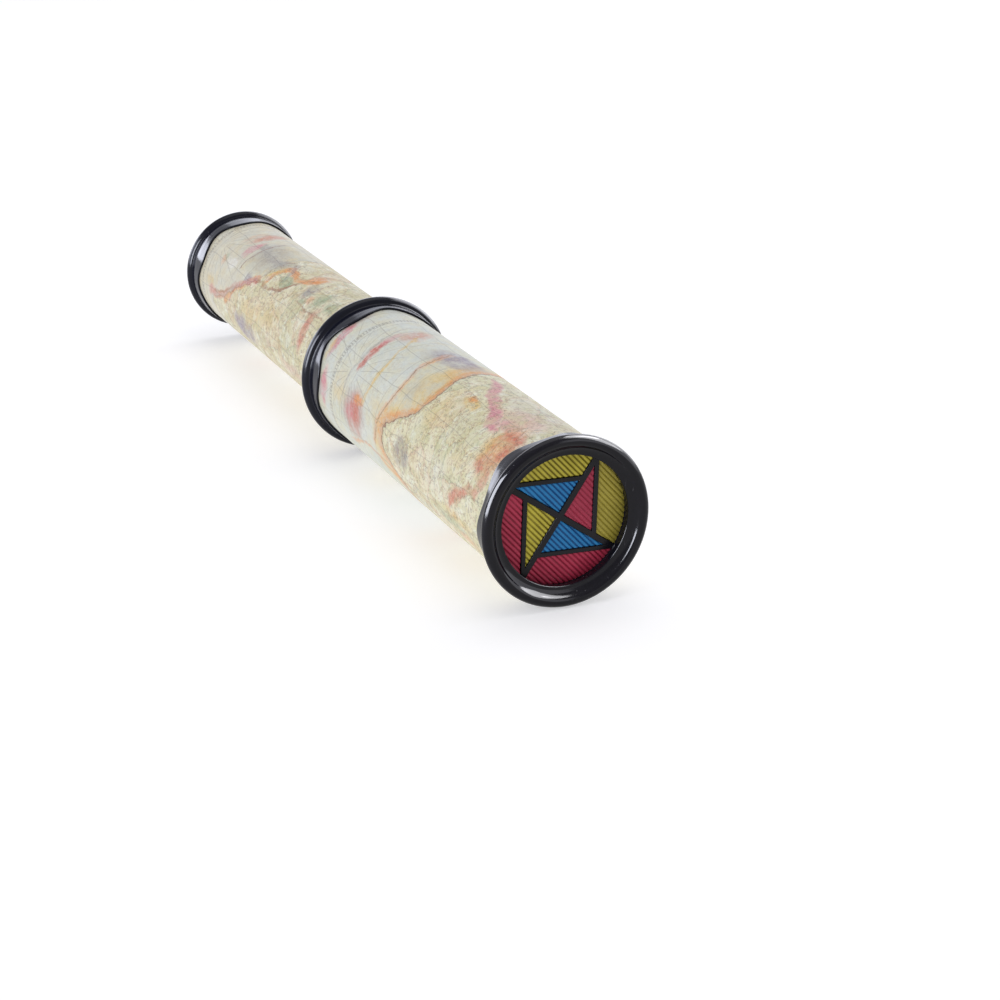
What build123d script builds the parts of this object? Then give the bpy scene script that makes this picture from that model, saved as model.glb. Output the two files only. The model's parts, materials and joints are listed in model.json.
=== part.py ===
from build123d import *
import math
import os

# Telescoping toy kaleidoscope lying on its side, drawn out to full length.
# Millimetres. +X runs along the tubes from the coloured front disc to the
# eyepiece, +Z is up. The origin is on the surface that it lies on, below the
# middle of its length.
#
# Lengths along the tubes are written as stations u, counted from the widest
# circle of the front rim. u grows towards the eyepiece.

# ---------------------------------------------------------------- dimensions
RIM_R = 27.5            # outer radius of the front rim and of the middle collar
REAR_RIM_R = 23.5       # outer radius of the eyepiece cap
BEAD_R = 2.0            # section radius of each rolled rim
BEAD_FLAT = 0.1         # depth of the small flat on the crest of an end rim

U_FRONT = 0.0           # stations of the three rims' widest circles
U_MID = 160.0
U_REAR = 310.0

WRAP_T = 0.15           # printed paper
BIG_R = 24.4            # outer tube, outside of its paper
BIG_WALL = 1.85
SMALL_R = 21.05         # inner tube, outside of its paper
SMALL_WALL = 1.5

SKIRT_T = 0.85          # scalloped skirts of the three caps
SCALLOPS = 6
FRONT_SKIRT = (6.6, 9.8)    # shortest and longest reach from the rim's widest circle
MID_SKIRT = (6.0, 9.6)
REAR_SKIRT = (8.3, 11.2)
FRONT_TROUGH_DEG = 10.6     # where a short point sits, from the top towards +Y
MID_TROUGH_DEG = 52.5
REAR_TROUGH_DEG = 36.0

RECESS_R = 20.9         # opening of the front cap, ahead of the coloured disc
DISC_U = 4.0            # front of the leading's arms and bars
FRAME_U = 2.25          # front of the leading's outer wall, which bears on the cap
FRAME_IN = 21.9         # inside of that wall
LEAD_T = 1.4
PANE_BACK = 0.3         # panes sit this far behind the front of the leading
PANE_T = 1.0
ARM_W = 1.85            # the four arms of the leading
BAR_W = 1.45            # the four slanting bars
ARM_DEG = 55.3          # first arm, seen from the front, from the right upwards
BAR_TIP_R = 21.5        # where each slanting bar leaves its arm
BAR_FOOT_R = 13.9       # where it meets the next arm
RIB_PITCH = 1.33
RIB_H = 0.4
RIB_DEG = -47.6

TRAVEL = 100.0          # how far the inner tube slides in
U_TUBE_END = 132.0      # front end of the inner tube when drawn out

MIRROR_W = 32.0
MIRROR_T = 1.0
MIRROR_U = (134.1, 298.0)
EYE_R = 5.0

GAP = 0.05              # glued or snug pieces
RUN = 0.05              # running fit, radial

# ------------------------------------------------------------------- helpers
U_MIN = U_FRONT - BEAD_R + BEAD_FLAT
U_MAX = U_REAR + BEAD_R - BEAD_FLAT
U_CENTRE = (U_MIN + U_MAX) / 2
PLACE = Location((-U_CENTRE, 0, RIM_R))

parts = {}


def keep(name, solid, label_color=None):
    shape = PLACE * solid
    shape.label = name
    parts[name] = shape


def ring(u0, u1, r_in, r_out):
    """Tube between two stations."""
    if r_in > 0:
        sec = Pos((u0 + u1) / 2, (r_in + r_out) / 2) * Rectangle(u1 - u0, r_out - r_in)
    else:
        sec = Pos((u0 + u1) / 2, r_out / 2) * Rectangle(u1 - u0, r_out)
    return revolve(sec, Axis.X, 360)


def lathe(edges):
    """Solid of revolution about the tube axis from a closed chain of edges."""
    return revolve(make_face(Wire(edges)), Axis.X, 360)


def seg(a, b):
    return Edge.make_line((a[0], a[1], 0), (b[0], b[1], 0))


def arc(a, m, b):
    return Edge.make_three_point_arc((a[0], a[1], 0), (m[0], m[1], 0), (b[0], b[1], 0))


def bead_pt(uc, rc, deg, r=None):
    """Point on a rim's round section; 0 deg points away from the axis, 90 deg forwards."""
    r = BEAD_R if r is None else r
    t = math.radians(deg)
    return (uc - r * math.sin(t), rc + r * math.cos(t))


def scalloped(solid, r_mid, u_rim, reach, trough_deg, towards):
    """Cut the free edge of a skirt to an even wave.

    towards is +1 where the skirt reaches towards the eyepiece, -1 where it
    reaches towards the front.
    """
    short, long_ = reach
    step = 360 / SCALLOPS
    half = math.radians(step / 2)
    pts = []
    n = 12
    for i in range(n + 1):
        th = -half + 2 * half * i / n
        s = (short + long_) / 2 - (long_ - short) / 2 * math.cos(SCALLOPS * th)
        pts.append((r_mid * math.sin(th), s))
    far = long_ + 3
    wave = Edge.make_spline([(x, s, 0) for x, s in pts],
                            tangents=[(1, 0, 0), (1, 0, 0)])
    a, b = pts[0], pts[-1]
    face = make_face(Wire([
        wave,
        Edge.make_line((b[0], b[1], 0), (b[0], far, 0)),
        Edge.make_line((b[0], far, 0), (a[0], far, 0)),
        Edge.make_line((a[0], far, 0), (a[0], a[1], 0)),
    ]))
    for k in range(SCALLOPS):
        ang = math.radians(trough_deg + k * step)
        radial = Vector(0, math.sin(ang), math.cos(ang))
        along = Vector(towards, 0, 0)
        # face x runs round the tube, face y runs along it
        across = along.cross(radial)
        plane = Plane(origin=Vector(u_rim, 0, 0) + radial * (r_mid - 3),
                      x_dir=across, z_dir=radial)
        solid = solid - extrude(plane * face, amount=7)
    return solid


# --------------------------------------------------------- outer tube, paper
U_BIG0 = 2.25
U_BIG1 = 159.45
big_bore = BIG_R - WRAP_T - BIG_WALL
keep("outer_tube", ring(U_BIG0, U_BIG1, big_bore, BIG_R - WRAP_T))
keep("outer_tube_wrap", ring(U_BIG0, U_BIG1, BIG_R - WRAP_T, BIG_R))

# ------------------------------------------------------------------ front cap
rc = RIM_R - BEAD_R
skirt_in = BIG_R + GAP
skirt_out = skirt_in + SKIRT_T
flat_deg = math.degrees(math.acos((BEAD_R - BEAD_FLAT) / BEAD_R))
p_in = bead_pt(0, rc, 140)                       # where the flank meets the rim
p_f1 = bead_pt(0, rc, 90 + flat_deg)
p_f0 = bead_pt(0, rc, 90 - flat_deg)
p_top = bead_pt(0, rc, 0)
p_rear = bead_pt(0, rc, -78)
front = lathe([
    seg((U_BIG0 - GAP, RECESS_R), (0.40, RECESS_R)),
    # rounded lip of the opening, then a dished flank that rises to the rim
    arc((0.40, RECESS_R), (0.117, RECESS_R + 0.117), (0.0, RECESS_R + 0.40)),
    arc((0.0, RECESS_R + 0.40), (-0.339, RECESS_R + 1.882), p_in),
    arc(p_in, bead_pt(0, rc, 124), p_f1),
    seg(p_f1, p_f0),
    arc(p_f0, bead_pt(0, rc, 40), p_top),
    arc(p_top, bead_pt(0, rc, -40), p_rear),
    arc(p_rear, (p_rear[0] + 0.18, skirt_out + 0.16), (p_rear[0] + 0.75, skirt_out)),
    seg((p_rear[0] + 0.75, skirt_out), (FRONT_SKIRT[1], skirt_out)),
    seg((FRONT_SKIRT[1], skirt_out), (FRONT_SKIRT[1], skirt_in)),
    seg((FRONT_SKIRT[1], skirt_in), (U_BIG0 - GAP, skirt_in)),
    seg((U_BIG0 - GAP, skirt_in), (U_BIG0 - GAP, RECESS_R)),
])
front = scalloped(front, (skirt_in + skirt_out) / 2, 0, FRONT_SKIRT, FRONT_TROUGH_DEG, +1)
keep("front_cap", front)

# ---------------------------------------------------------- middle collar
u = U_MID
q_front = bead_pt(u, rc, 78)
q_top = bead_pt(u, rc, 0)
q_in = bead_pt(u, rc, -165)
hole = SMALL_R + 0.4
collar = lathe([
    seg((u - MID_SKIRT[1], skirt_in), (u - MID_SKIRT[1], skirt_out)),
    seg((u - MID_SKIRT[1], skirt_out), (q_front[0] - 0.75, skirt_out)),
    arc((q_front[0] - 0.75, skirt_out), (q_front[0] - 0.18, skirt_out + 0.16), q_front),
    arc(q_front, bead_pt(u, rc, 40), q_top),
    arc(q_top, bead_pt(u, rc, -90), q_in),
    seg(q_in, (u + 0.95, hole + 0.95)),
    arc((u + 0.95, hole + 0.95), (u + 1.55, hole + 0.62), (u + 1.3, hole)),
    seg((u + 1.3, hole), (U_BIG1 + GAP, hole)),
    seg((U_BIG1 + GAP, hole), (U_BIG1 + GAP, skirt_in)),
    seg((U_BIG1 + GAP, skirt_in), (u - MID_SKIRT[1], skirt_in)),
])
collar = scalloped(collar, (skirt_in + skirt_out) / 2, u, MID_SKIRT, MID_TROUGH_DEG, -1)
keep("middle_collar", collar)

# rings glued inside the outer tube behind the collar
keep("extension_stop_ring", ring(148.6, 153.0, SMALL_R + 0.4, big_bore - GAP))
keep("collar_felt_ring", ring(153.1, 159.4, SMALL_R + RUN, big_bore - GAP))

# --------------------------------------------------------------- front disc
front_plane = Plane(origin=(DISC_U, 0, 0), x_dir=(0, -1, 0), z_dir=(-1, 0, 0))
lead_r = big_bore - GAP


def bar(p, q, w, ext0=0.0, ext1=0.0):
    """Flat strip of width w from p to q in the disc's own plane."""
    dx, dy = q[0] - p[0], q[1] - p[1]
    ln = math.hypot(dx, dy)
    ang = math.degrees(math.atan2(dy, dx))
    cx = (p[0] + q[0]) / 2 + dx / ln * (ext1 - ext0) / 2
    cy = (p[1] + q[1]) / 2 + dy / ln * (ext1 - ext0) / 2
    return Pos(cx, cy) * Rot(0, 0, ang) * Rectangle(ln + ext0 + ext1, w)


def polar(r, deg):
    return (r * math.cos(math.radians(deg)), r * math.sin(math.radians(deg)))


arm_deg = [ARM_DEG - 90 * k for k in range(4)]   # clockwise from the top right


def strips(extra):
    out = None
    for k in range(4):
        tip = polar(lead_r, arm_deg[k])
        foot = polar(BAR_FOOT_R, arm_deg[(k + 1) % 4])
        for s in (bar((0, 0), tip, ARM_W + extra),
                  bar(polar(BAR_TIP_R, arm_deg[k]), foot, BAR_W + extra, 1.0, 0.0)):
            out = s if out is None else out + s
    return out


ring_face = Circle(lead_r) - Circle(FRAME_IN)
lead_face = (ring_face + strips(0)) & Circle(lead_r)
keep("leading_frame", extrude(front_plane * lead_face, amount=-LEAD_T)
     + ring(FRAME_U, DISC_U + LEAD_T, FRAME_IN, lead_r))

pane_face = Circle(FRAME_IN - GAP) - strips(2 * GAP)
pane_plane = Plane(origin=(DISC_U + PANE_BACK, 0, 0), x_dir=(0, -1, 0), z_dir=(-1, 0, 0))
names = {}
cells = sorted(pane_face.faces(), key=lambda f: -f.area)[:8]
outer, inner = cells[:4], cells[4:]


def bearing(f):
    c = f.center()
    return math.degrees(math.atan2(c.Y, c.X)) % 360


def nearest(faces, deg):
    return min(faces, key=lambda f: abs((bearing(f) - deg + 180) % 360 - 180))


outer_names = {ARM_DEG + 45: "outer_pane_top_yellow", ARM_DEG - 45: "outer_pane_right_yellow",
               ARM_DEG - 135: "outer_pane_bottom_red", ARM_DEG + 135: "outer_pane_left_red"}
inner_names = {ARM_DEG + 60: "inner_pane_top_blue", ARM_DEG - 30: "inner_pane_right_red",
               ARM_DEG - 120: "inner_pane_bottom_blue", ARM_DEG + 150: "inner_pane_left_yellow"}
for table, faces in ((outer_names, outer), (inner_names, inner)):
    for deg, name in table.items():
        f = nearest(faces, deg)
        keep(name, extrude(pane_plane * f, amount=-PANE_T))

# ribbed sheet behind the panes: a flat disc with straight ribs on its front
u_rib = DISC_U + LEAD_T + GAP
base_u = u_rib + RIB_H
count = int(2 * lead_r / RIB_PITCH) + 3
x0 = -count * RIB_PITCH / 2
line = [(x0, 0.0)]
for i in range(count):
    a = x0 + i * RIB_PITCH
    line += [(a + 0.16 * RIB_PITCH, RIB_H * 0.72), (a + 0.36 * RIB_PITCH, RIB_H),
             (a + 0.64 * RIB_PITCH, RIB_H), (a + 0.84 * RIB_PITCH, RIB_H * 0.72),
             (a + RIB_PITCH, 0.0)]
line += [(x0 + count * RIB_PITCH, -1.0), (x0, -1.0)]
across = polar(1, RIB_DEG + 90)
along = polar(1, RIB_DEG)
rib_plane = Plane(origin=(base_u, 0, 0),
                  x_dir=(0, -across[0], across[1]),
                  z_dir=(0, -along[0], along[1]))
# the plane's own y axis has to point forwards, towards -X
if rib_plane.y_dir.X > 0:
    rib_plane = Plane(origin=(base_u, 0, 0), x_dir=(0, -across[0], across[1]),
                      z_dir=(0, along[0], -along[1]))
slab = extrude(rib_plane * make_face(Polyline(*line, close=True)), amount=30, both=True)
keep("ribbed_diffuser", slab & ring(u_rib - 1, base_u + 1.0, 0, lead_r))
u_disc_back = base_u + 1.0

keep("disc_retaining_sleeve", ring(u_disc_back + GAP, U_TUBE_END - TRAVEL - 0.5,
                                   SMALL_R - 0.05, big_bore - GAP))

# -------------------------------------------------------- sliding guide ring
small_card = SMALL_R - WRAP_T
U_SMALL1 = 308.0
keep("guide_ring", ring(134.7, 145.5, small_card + RUN, big_bore - RUN))

# ----------------------------------------------------------- inner tube set
keep("inner_tube", ring(U_TUBE_END, U_SMALL1, small_card - SMALL_WALL, small_card))
keep("inner_tube_wrap", ring(148.3, U_SMALL1, small_card, SMALL_R))
keep("front_keeper_ring", ring(U_TUBE_END, 134.5, small_card + 0.02, big_bore - 0.4))
keep("rear_keeper_ring", ring(145.7, 148.2, small_card + 0.02, big_bore - 0.4))

bore = small_card - SMALL_WALL
apo = MIRROR_W / (2 * math.sqrt(3))
for k in range(3):
    deg = 90 + 120 * k                    # first mirror lies on top
    strip = Pos(0, 0, apo + MIRROR_T / 2) * Box(MIRROR_U[1] - MIRROR_U[0], MIRROR_W, MIRROR_T)
    strip = Pos((MIRROR_U[0] + MIRROR_U[1]) / 2, 0, 0) * (Rot(120 * k, 0, 0) * strip)
    keep(f"mirror_strip_{k + 1}", strip)

tri = math.sqrt(3)


def prism_outline(off):
    """Corners of the outline round the three strips, set off by off."""
    pts = []
    for k in range(3):
        base = math.radians(120 * k)
        for sgn in (-1, 1):
            y, z = sgn * (MIRROR_W / 2 + off * 0.2), apo + MIRROR_T + off
            pts.append((y * math.cos(base) - z * math.sin(base),
                        y * math.sin(base) + z * math.cos(base)))
    pts.sort(key=lambda p: math.atan2(p[1], p[0]))
    return pts


yz = Plane(origin=(MIRROR_U[0] + 1, 0, 0), x_dir=(0, 1, 0), z_dir=(1, 0, 0))
sleeve = make_face(Polyline(*prism_outline(0.32), close=True)) - \
    make_face(Polyline(*prism_outline(0.03), close=True))
keep("mirror_sleeve", extrude(yz * sleeve, amount=MIRROR_U[1] - MIRROR_U[0] - 2))


def triangle(side):
    r = side / math.sqrt(3)
    return make_face(Polyline(*[polar(r, a) for a in (30 + 240, 30, 150)], close=True))


for name, u0, u1 in (("prism_ring_front", U_TUBE_END + 0.2, MIRROR_U[0] - GAP),
                     ("prism_ring_rear", MIRROR_U[1] + GAP, MIRROR_U[1] + 2.0)):
    pl = Plane(origin=(u0, 0, 0), x_dir=(0, 1, 0), z_dir=(1, 0, 0))
    keep(name, extrude(pl * (Circle(bore - GAP) - triangle(MIRROR_W - 2.0)), amount=u1 - u0))

keep("eyepiece_spacer", ring(MIRROR_U[1] + 2.05, 306.4, 14.0, bore - GAP))
keep("eyepiece_window", ring(306.5, 307.7, 0, bore - GAP))

# --------------------------------------------------------------- eyepiece cap
u = U_REAR
rr = REAR_RIM_R - BEAD_R
sk_in = SMALL_R + GAP
sk_out = sk_in + SKIRT_T
s_front = bead_pt(u, rr, 72)
s_top = bead_pt(u, rr, 0)
s_f0 = bead_pt(u, rr, -90 + flat_deg)
s_f1 = bead_pt(u, rr, -90 - flat_deg)
s_in = bead_pt(u, rr, -158)
cap = lathe([
    seg((u - REAR_SKIRT[1], sk_in), (u - REAR_SKIRT[1], sk_out)),
    seg((u - REAR_SKIRT[1], sk_out), (s_front[0] - 0.7, sk_out)),
    arc((s_front[0] - 0.7, sk_out), (s_front[0] - 0.16, sk_out + 0.15), s_front),
    arc(s_front, bead_pt(u, rr, 35), s_top),
    arc(s_top, bead_pt(u, rr, -45), s_f0),
    seg(s_f0, s_f1),
    arc(s_f1, bead_pt(u, rr, -130), s_in),
    seg(s_in, (u - 0.55, EYE_R + 3.1)),
    arc((u - 0.55, EYE_R + 3.1), (u - 0.3, EYE_R + 2.75), (u + 0.1, EYE_R + 2.4)),
    arc((u + 0.1, EYE_R + 2.4), (u + 0.75, EYE_R + 1.35), (u + 0.15, EYE_R + 0.3)),
    arc((u + 0.15, EYE_R + 0.3), (u - 0.25, EYE_R + 0.08), (u - 0.7, EYE_R)),
    seg((u - 0.7, EYE_R), (U_SMALL1 + GAP, EYE_R)),
    seg((U_SMALL1 + GAP, EYE_R), (U_SMALL1 + GAP, sk_in)),
    seg((U_SMALL1 + GAP, sk_in), (u - REAR_SKIRT[1], sk_in)),
])
cap = scalloped(cap, (sk_in + sk_out) / 2, u, REAR_SKIRT, REAR_TROUGH_DEG, -1)
keep("eyepiece_cap", cap)

# ----------------------------------------------------------------------- write
os.makedirs("parts", exist_ok=True)
for name, shape in parts.items():
    solids = shape.solids()
    body = solids[0] if len(solids) == 1 else Compound(children=list(solids))
    body.label = name
    export_step(body, f"parts/{name}.step")
print(len(parts), "nodes")
print(f"drawn out {U_MAX - U_MIN:.1f} mm, pushed in {U_MAX - U_MIN - TRAVEL:.1f} mm")
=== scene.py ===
import json
import math

import bpy
import numpy as np
from mathutils import Matrix, Vector
from mathutils import noise as mnoise

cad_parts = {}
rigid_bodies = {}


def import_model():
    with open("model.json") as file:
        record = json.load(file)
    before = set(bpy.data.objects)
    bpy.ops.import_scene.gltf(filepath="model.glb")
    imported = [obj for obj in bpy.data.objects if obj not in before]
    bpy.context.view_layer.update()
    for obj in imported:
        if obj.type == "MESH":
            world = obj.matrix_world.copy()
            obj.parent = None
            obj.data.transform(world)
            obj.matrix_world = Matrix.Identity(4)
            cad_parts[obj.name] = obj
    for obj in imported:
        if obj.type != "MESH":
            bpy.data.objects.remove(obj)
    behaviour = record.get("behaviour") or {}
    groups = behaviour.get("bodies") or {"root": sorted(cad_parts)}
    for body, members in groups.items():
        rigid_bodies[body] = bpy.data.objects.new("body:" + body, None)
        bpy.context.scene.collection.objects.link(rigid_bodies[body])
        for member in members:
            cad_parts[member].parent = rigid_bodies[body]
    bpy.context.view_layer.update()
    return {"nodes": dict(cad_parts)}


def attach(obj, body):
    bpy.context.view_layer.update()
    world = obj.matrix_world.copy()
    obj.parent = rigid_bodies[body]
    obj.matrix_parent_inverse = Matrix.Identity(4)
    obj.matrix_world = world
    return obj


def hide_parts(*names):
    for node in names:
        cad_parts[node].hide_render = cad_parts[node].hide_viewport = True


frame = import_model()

NODES = frame["nodes"]
SCENE = bpy.context.scene

# ------------------------------------------------------------------ dimensions
# Millimetres along the tube (u, from the front rim) and outwards from its axis (r).
# phi is measured from the top towards +Y.
U0 = 155.0
AXIS_Z = 27.5
BIG_R, SMALL_R = 24.4, 21.05
WRAP_IN_BIG, WRAP_IN_SMALL = 24.25, 20.90
SKIRT_T = 0.85
FRONT_REACH = (6.6, 9.8, 10.6)      # shortest, longest, bearing of a short point
MID_REACH = (6.0, 9.6, 52.5)
REAR_REACH = (8.3, 11.2, 36.0)
ARM_DEG = 55.3
RIB_DEG = -47.6
RIB_PITCH = 1.33


def at(u, r, phi):
    """Row-frame position in metres of a place on the tube."""
    return ((u - U0) / 1000.0, r * math.sin(phi) / 1000.0, (AXIS_Z + r * math.cos(phi)) / 1000.0)


def mesh_object(name, verts, faces, sharp_deg=35.0):
    me = bpy.data.meshes.new(name)
    me.from_pydata([tuple(v) for v in verts], [], faces)
    me.validate()
    me.update()
    ob = bpy.data.objects.new(name, me)
    SCENE.collection.objects.link(ob)
    import bmesh
    bm = bmesh.new()
    bm.from_mesh(me)
    bmesh.ops.recalc_face_normals(bm, faces=bm.faces)
    bm.to_mesh(me)
    bm.free()
    me.shade_smooth()
    me.set_sharp_from_angle(angle=math.radians(sharp_deg))
    return ob


# ------------------------------------------------------------ turned mouldings
class Outline:
    """Closed section of a turned piece: (u, r, k) where k is how far the
    station follows the wave of a scalloped edge."""

    def __init__(self):
        self.p = []

    def add(self, u, r, k=0.0):
        self.p.append((u, r, k))

    def line(self, a, b, n, ka=0.0, kb=0.0, ends=(True, True)):
        for i in range(n + 1):
            if (i == 0 and not ends[0]) or (i == n and not ends[1]):
                continue
            t = i / n
            self.add(a[0] + (b[0] - a[0]) * t, a[1] + (b[1] - a[1]) * t, ka + (kb - ka) * t)

    def bezier(self, a, c, b, n, k=0.0, ends=(False, True)):
        for i in range(n + 1):
            if (i == 0 and not ends[0]) or (i == n and not ends[1]):
                continue
            t = i / n
            x = (1 - t) ** 2 * a[0] + 2 * t * (1 - t) * c[0] + t * t * b[0]
            y = (1 - t) ** 2 * a[1] + 2 * t * (1 - t) * c[1] + t * t * b[1]
            self.add(x, y, k)

    def bead(self, uc, rc, deg0, deg1, n, front=2.0, rear=2.0, r=2.0):
        for i in range(n + 1):
            t = math.radians(deg0 + (deg1 - deg0) * i / n)
            s = math.sin(t)
            self.add(uc - (front if s > 0 else rear) * s, rc + r * math.cos(t), 0.0)

    def skirt(self, root, u_end, ka, kb, reverse=False):
        """Outside of a skirt from its root at the rim to its rounded edge: it
        swells a little in the middle and draws in towards the edge."""
        pts = []
        for i in range(1, 16):
            t = i / 16
            pts.append((root[0] + (u_end - root[0]) * t,
                        root[1] + 0.05 * math.sin(math.pi * min(1.0, t * 1.4)) - 0.14 * t ** 3, t))
        if reverse:
            pts.reverse()
        for q in pts:
            self.add(q[0], q[1], q[2])

    def tip(self, u_tip, towards, r_in, r_out, outward_first):
        """Rounded free edge of a skirt at its shortest reach."""
        big, small = 0.30, 0.12
        pts = []
        for i in range(9):
            t = math.radians(90 - 90 * i / 8)
            pts.append((u_tip - towards * big + towards * big * math.cos(t),
                        r_out - big + big * math.sin(t)))
        for i in range(5):
            t = math.radians(-90 * i / 4)
            pts.append((u_tip - towards * small + towards * small * math.cos(t),
                        r_in + small + small * math.sin(t)))
        if not outward_first:
            pts.reverse()
        for q in pts:
            self.add(q[0], q[1], 1.0)


def reach_extra(reach, phi):
    """How much further than the shortest point the wave goes at phi."""
    amp = (reach[1] - reach[0]) / 2
    return amp - amp * math.cos(6 * (phi - math.radians(reach[2])))


def turned(name, outline, reach, towards, segs=360, seed=0.0, wobble=0.018):
    """Revolved moulding with a scalloped skirt and the slight unevenness of a
    moulded surface."""
    n = len(outline.p)
    verts, faces = [], []
    for j in range(segs):
        phi = 2 * math.pi * j / segs
        extra = reach_extra(reach, phi) * towards
        for (u, r, k) in outline.p:
            uu = u + k * extra
            q = Vector((uu * 0.16, math.cos(phi) * 3.2, math.sin(phi) * 3.2 + seed))
            d = mnoise.noise(q) * wobble
            verts.append(at(uu, r - abs(d), phi))
    for j in range(segs):
        a, b = j * n, ((j + 1) % segs) * n
        for i in range(n):
            i2 = (i + 1) % n
            faces.append((a + i, a + i2, b + i2, b + i))
    return mesh_object(name, verts, faces, 50.0)


def front_cap():
    o = Outline()
    o.line((2.2, 20.9), (0.40, 20.9), 6)
    o.bezier((0.40, 20.9), (0.02, 20.9), (0.0, 21.30), 8)
    # dished flank between the lip of the opening and the rim
    rho = 3.525
    for i in range(1, 22):
        t = math.asin(2.668 / rho) * i / 22
        o.add(-rho * (1.0 - math.cos(t)), 21.30 + rho * math.sin(t), 0.0)
    o.bead(0.0, 25.5, 140, -78, 66, front=1.9)
    o.bezier((1.956, 25.916), (2.02, 25.34), (2.75, 25.30), 8)
    tip = 6.6
    o.skirt((2.75, 25.30), tip - 0.30, 0.0, 1.0)
    o.tip(tip, +1, 24.45, 25.16, True)
    o.line((tip - 0.12, 24.45), (2.2, 24.45), 6, 1.0, 0.0, ends=(False, True))
    o.line((2.2, 24.45), (2.2, 20.9), 4, ends=(False, False))
    return turned("front_cap_moulding", o, FRONT_REACH, +1, seed=1.7)


def middle_collar():
    o = Outline()
    u = 160.0
    tip = u - 6.0
    o.line((159.5, 24.45), (tip + 0.12, 24.45), 6, 0.0, 1.0, ends=(True, False))
    o.tip(tip, -1, 24.45, 25.16, False)
    o.skirt((157.25, 25.30), tip + 0.30, 1.0, 0.0, True)
    o.bezier((157.25, 25.30), (157.98, 25.34), (158.044, 25.916), 8, ends=(True, True))
    o.bead(u, 25.5, 76, -165, 66)
    o.bezier((160.518, 23.568), (160.60, 23.38), (160.66, 23.2), 3)
    o.line((160.66, 23.2), (160.95, 22.4), 4, ends=(False, False))
    o.bezier((160.95, 22.4), (161.62, 21.75), (161.0, 21.45), 10, ends=(True, True))
    o.line((161.0, 21.45), (159.5, 21.45), 3, ends=(False, True))
    o.line((159.5, 21.45), (159.5, 24.45), 3, ends=(False, False))
    return turned("middle_collar_moulding", o, MID_REACH, -1, seed=5.1)


def eyepiece_cap():
    o = Outline()
    u = 310.0
    tip = u - 8.3
    o.line((308.05, 21.10), (tip + 0.12, 21.10), 6, 0.0, 1.0, ends=(True, False))
    o.tip(tip, -1, 21.10, 21.81, False)
    o.skirt((307.35, 21.95), tip + 0.30, 1.0, 0.0, True)
    o.bezier((307.35, 21.95), (308.0, 21.97), (308.098, 22.118), 6, ends=(True, True))
    o.bead(u, 21.5, 70, -158, 66, rear=1.9)
    o.bezier((310.712, 19.646), (310.55, 19.35), (310.48, 18.9), 5)
    o.bezier((310.48, 18.9), (309.75, 13.5), (309.46, 8.6), 16)
    o.bezier((309.46, 8.6), (309.44, 7.75), (309.95, 7.40), 8)
    for i in range(1, 13):
        t = math.pi * i / 13
        o.add(309.95 + 0.90 * math.sin(t), 6.35 + 1.05 * math.cos(t))
    o.bezier((309.95, 5.30), (309.60, 5.02), (309.25, 5.0), 6, ends=(True, True))
    o.line((309.25, 5.0), (308.05, 5.0), 3, ends=(False, True))
    o.line((308.05, 5.0), (308.05, 21.10), 8, ends=(False, False))
    return turned("eyepiece_cap_moulding", o, REAR_REACH, -1, seed=9.3)


# --------------------------------------------------------------- printed paper
def wrap(name, u0, u1, r_in, r_out, rows, segs, seed, lap=0.09):
    """Sheet wound once round the tube: its last edge laps over the first one
    along the bottom, and its surface has the faint ripple of glued paper."""
    cols = []
    for j in range(segs):
        cols.append(-math.pi + 2 * math.pi * (j + 0.5) / segs)
    eps = math.radians(0.10)
    cols = [-math.pi + eps] + cols + [math.pi - eps]
    base = r_out - lap
    verts, faces = [], []
    nc = len(cols)
    us = [u0 + (u1 - u0) * i / rows for i in range(rows + 1)]
    for u in us:
        for c in cols:
            from_edge = (c + math.pi) * r_out
            rise = lap * (1.0 - min(1.0, max(0.0, (from_edge - 4.5) / 3.0)) ** 2)
            if from_edge > 7.5:
                rise = 0.0
            q = Vector((u * 0.055, math.cos(c) * 1.5, math.sin(c) * 1.5 + seed))
            q2 = Vector((u * 0.21, math.cos(c) * 4.5, math.sin(c) * 4.5 - seed))
            ripple = 0.022 * mnoise.noise(q) + 0.008 * mnoise.noise(q2)
            helix = 0.006 * math.cos(2 * math.pi * (u / 62.0) + c)
            edge_lift = 0.0
            d = (base - 0.034 + rise + ripple + helix + edge_lift)
            verts.append(at(u, min(d, r_out), c))
    top = len(verts)
    for u in us:
        for c in cols:
            verts.append(at(u, r_in, c))
    for i in range(rows):
        for j in range(nc):
            j2 = (j + 1) % nc
            a, b, c_, d_ = i * nc + j, i * nc + j2, (i + 1) * nc + j2, (i + 1) * nc + j
            faces.append((a, b, c_, d_))
            faces.append((top + a, top + d_, top + c_, top + b))
    for j in range(nc):
        j2 = (j + 1) % nc
        faces.append((j, top + j, top + j2, j2))
        e = rows * nc
        faces.append((e + j, e + j2, top + e + j2, top + e + j))
    return mesh_object(name, verts, faces, 30.0)


# ----------------------------------------------------------------- ribbed panes
def polar(r, deg):
    return np.array((r * math.cos(math.radians(deg)), r * math.sin(math.radians(deg))))


ALONG, ACROSS = polar(1, RIB_DEG), polar(1, RIB_DEG + 90)


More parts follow.
